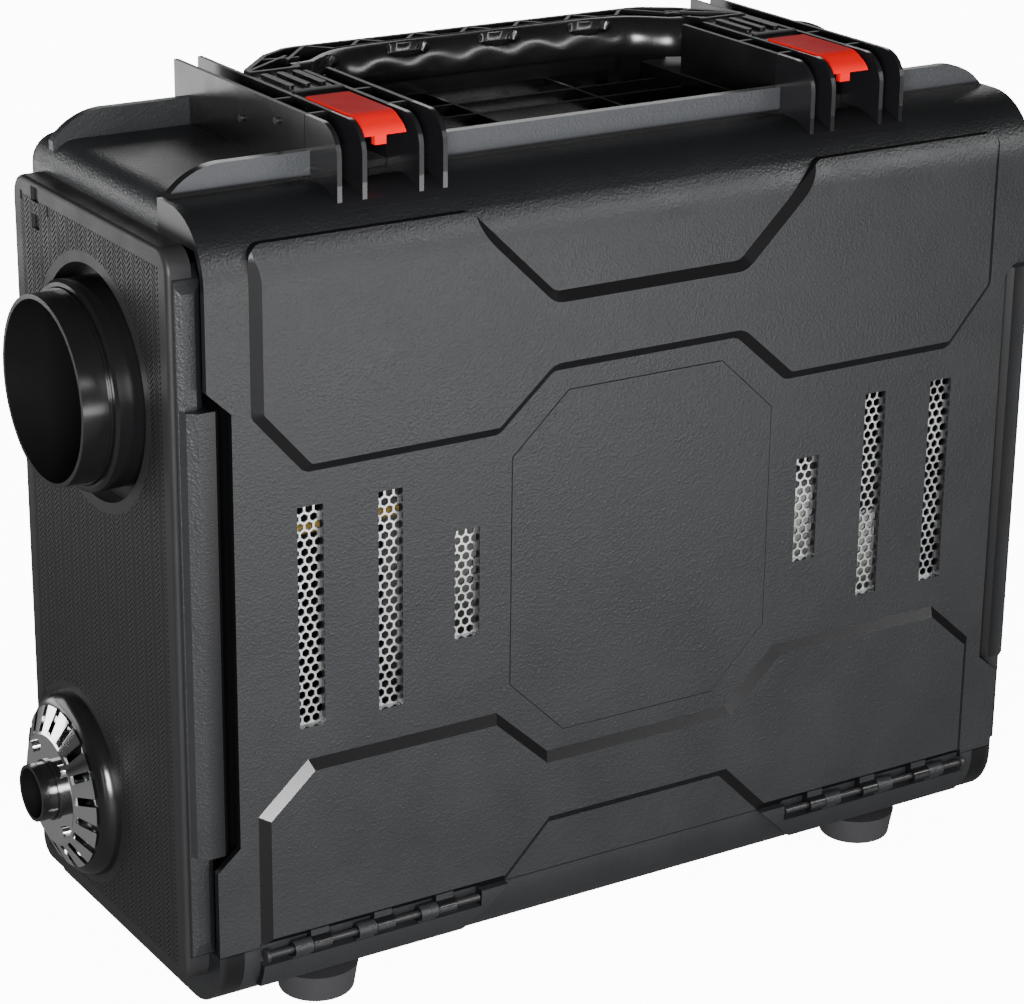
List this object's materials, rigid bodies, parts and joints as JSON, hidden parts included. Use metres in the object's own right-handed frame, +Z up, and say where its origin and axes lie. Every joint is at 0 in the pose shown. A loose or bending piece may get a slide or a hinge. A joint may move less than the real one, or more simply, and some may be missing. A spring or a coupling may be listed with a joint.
{
  "type": "portable diesel air heater",
  "caption": "Carry-case diesel air heater: hinged front cover with mesh vents, red latches, folding handle, round duct and exhaust outlets at one end.",
  "frame": {"origin": "centre of the whole object's footprint box, at the level of the feet", "axes": "+X along the case towards the controls end, the duct end at -X; -Y towards the front cover; +Z up"},
  "size_m": [0.44, 0.1652, 0.362],
  "materials": {
    "shell": "black, fine leather grain",
    "deck": "black, glossy",
    "panel": "black, slanting pressed strokes",
    "badge": "black, smooth, blank",
    "mesh": "bright steel wire",
    "pin": "plain steel",
    "latch": "red, glossy",
    "grip": "black, glossy",
    "duct": "satin",
    "duct_black": "black",
    "collar": "black, glossy",
    "chrome": "polished",
    "steel": "brushed",
    "exhaust": "heat-dulled steel",
    "cast": "cast, matt",
    "motor": "black",
    "fan": "black",
    "board": "green board",
    "tank": "milky white",
    "cap": "black",
    "hose": "black",
    "line": "amber nylon",
    "filter": "clear-grey",
    "bezel": "black",
    "screen": "dark",
    "button": "grey",
    "foot": "black"
  },
  "bodies": {
    "case": {"rear_shell": "shell", "top_deck": "deck", "latch_pin_left": "pin", "latch_pin_right": "pin", "handle_pin_left": "pin", "handle_pin_right": "pin", "hinge_pin_left": "pin", "hinge_pin_right": "pin", "end_panel_left": "panel", "end_panel_right": "panel", "duct_collar": "collar", "outlet_duct": "duct_black", "exhaust_bell": "chrome", "heat_shield": "chrome", "shield_screws": "steel", "exhaust_pipe": "exhaust", "heater_case_upper": "motor", "heater_case_lower": "motor", "heat_exchanger": "cast", "combustion_chamber": "steel", "blower_housing": "cast", "fan_motor": "motor", "core_cradle_left": "steel", "core_cradle_right": "steel", "glow_plug": "steel", "overheat_sensor": "motor", "fuel_tank": "tank", "tank_strap": "steel", "fuel_pump": "steel", "pump_clip": "hose", "fuel_filter": "filter", "tank_hose": "hose", "pump_hose": "hose", "fuel_line": "line", "intake_pipe": "duct", "intake_silencer": "motor", "control_bezel": "bezel", "display_window": "screen", "control_switches": "board", "power_socket": "bezel", "intake_grille": "bezel", "control_board": "board", "feet": "foot", "foot_screws": "steel", "block_screws": "steel"},
    "cover": {"front_cover": "shell", "badge_plate": "badge", "vent_mesh_left": "mesh", "vent_mesh_right": "mesh"},
    "latch_left": {"latch_left": "latch"},
    "latch_right": {"latch_right": "latch"},
    "handle": {"carry_handle": "grip"},
    "rotor": {"motor_shaft": "steel", "hot_air_fan": "fan", "combustion_fan": "fan"},
    "fuel_cap": {"fuel_cap": "cap"},
    "button_power": {"button_power": "button"},
    "button_up": {"button_up": "button"},
    "button_set": {"button_set": "button"},
    "button_down": {"button_down": "button"}
  },
  "joints": [
    {"name": "cover_hinge", "type": "hinge", "parent": "case", "child": "cover", "pos_m": [0.007, -0.0794, 0.036], "axis": [1, 0, 0], "range_deg": [0, 90]},
    {"name": "latch_left_hinge", "type": "hinge", "parent": "case", "child": "latch_left", "pos_m": [-0.10225, -0.0224, 0.3565], "axis": [-1, 0, 0], "range_deg": [0, 60]},
    {"name": "latch_right_hinge", "type": "hinge", "parent": "case", "child": "latch_right", "pos_m": [0.11625, -0.0224, 0.3565], "axis": [-1, 0, 0], "range_deg": [0, 60]},
    {"name": "handle_fold", "type": "hinge", "parent": "case", "child": "handle", "pos_m": [0.007, -0.0014, 0.3535], "axis": [1, 0, 0], "range_deg": [0, 90]},
    {"name": "fan_spin", "type": "hinge", "parent": "case", "child": "rotor", "pos_m": [0.067, 0.0006, 0.2555], "axis": [1, 0, 0], "continuous": true},
    {"name": "fuel_cap_turn", "type": "hinge", "parent": "case", "child": "fuel_cap", "pos_m": [0.147, -0.0284, 0.157], "axis": [0, -0.7071, 0.7071], "range_deg": [0, 90]},
    {"name": "button_power_press", "type": "slide", "parent": "case", "child": "button_power", "axis": [-1, 0, 0], "range_m": [0, 0.0012], "stiffness_N_per_m": 400},
    {"name": "button_up_press", "type": "slide", "parent": "case", "child": "button_up", "axis": [-1, 0, 0], "range_m": [0, 0.0012], "stiffness_N_per_m": 400},
    {"name": "button_set_press", "type": "slide", "parent": "case", "child": "button_set", "axis": [-1, 0, 0], "range_m": [0, 0.0012], "stiffness_N_per_m": 400},
    {"name": "button_down_press", "type": "slide", "parent": "case", "child": "button_down", "axis": [-1, 0, 0], "range_m": [0, 0.0012], "stiffness_N_per_m": 400}
  ]
}
